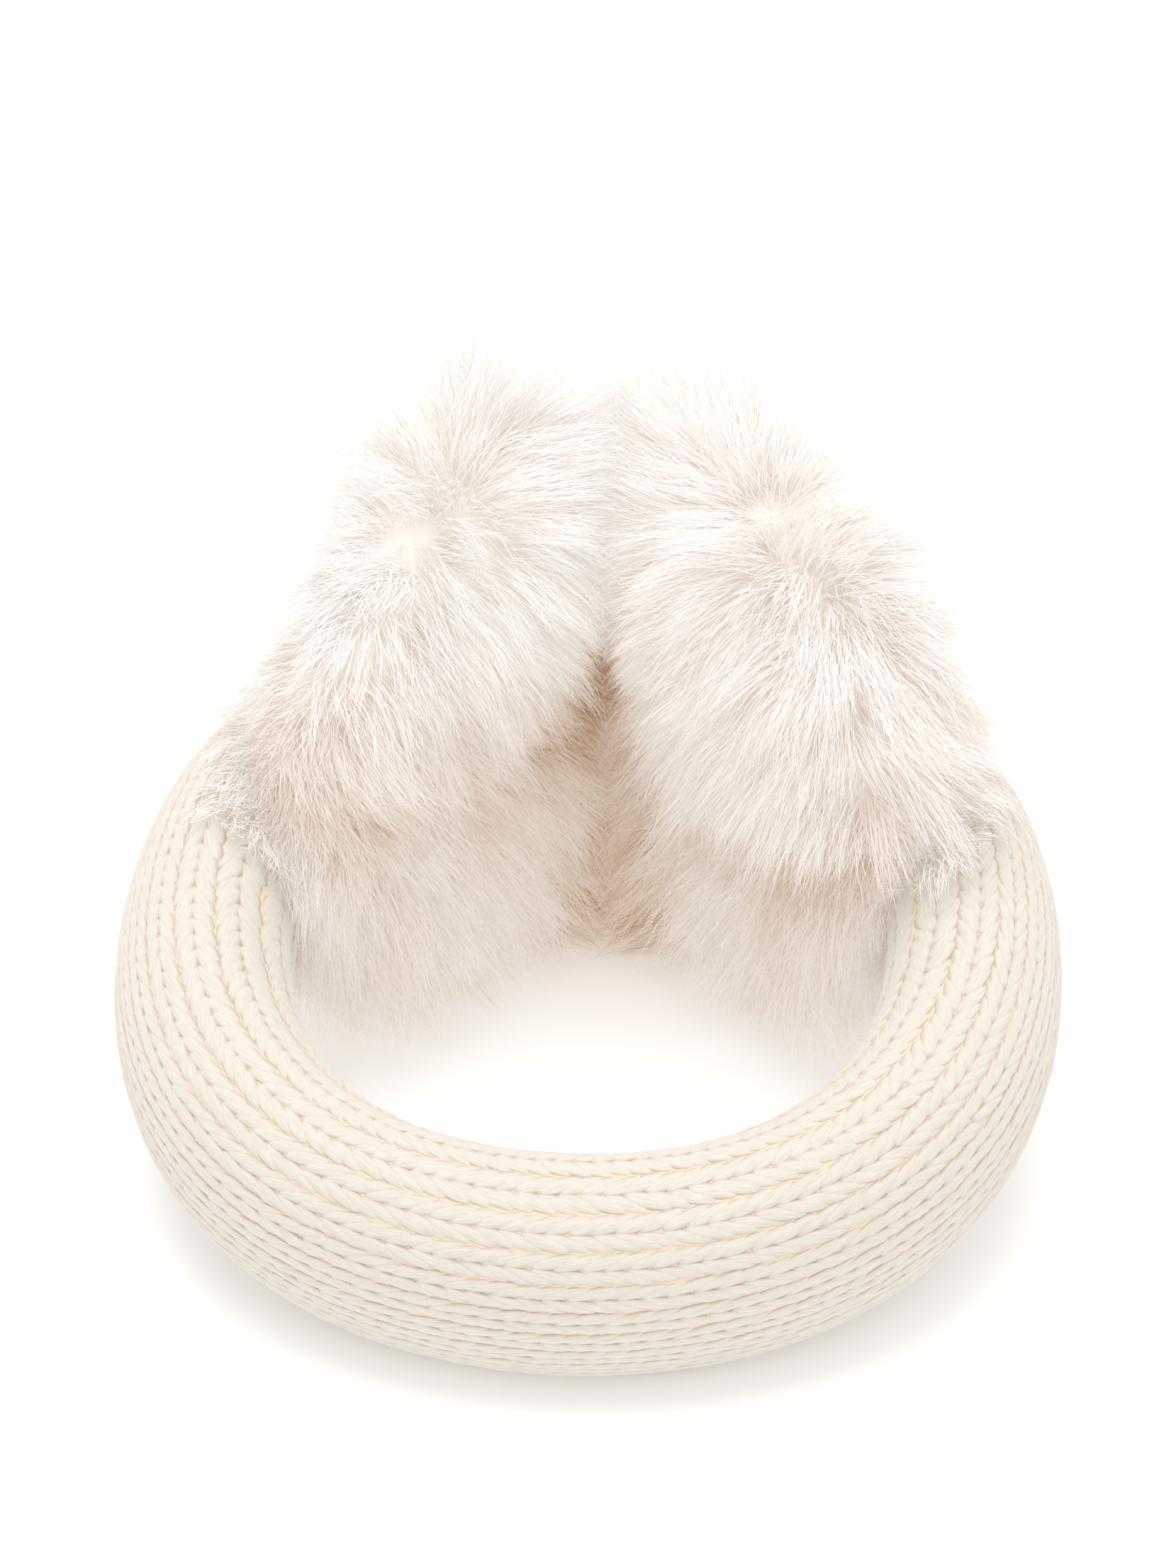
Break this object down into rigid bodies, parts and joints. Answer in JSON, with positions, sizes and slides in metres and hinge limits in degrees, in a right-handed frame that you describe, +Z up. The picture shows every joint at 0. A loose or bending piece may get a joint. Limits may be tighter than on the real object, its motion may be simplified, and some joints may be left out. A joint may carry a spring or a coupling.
{
  "type": "earmuffs",
  "caption": "Earmuffs with a padded knitted tube as headband and two deep-fur ear pads, lying on their side with the pads pressed together behind the crown.",
  "frame": {"origin": "on the surface that the earmuffs lie on, below the middle of their bounding box", "axes": "+Z up, +Y from the crown of the headband to the ear pads, +X from the left ear pad to the right one"},
  "size_m": [0.1874, 0.227, 0.1425],
  "materials": {
    "knit": "matt knitted cotton or acrylic yarn, cream",
    "fur": "long soft pile, warm white"
  },
  "bodies": {
    "root": {"knit_headband": "knit", "left_ear_pad": "fur", "right_ear_pad": "fur"}
  },
  "joints": []
}
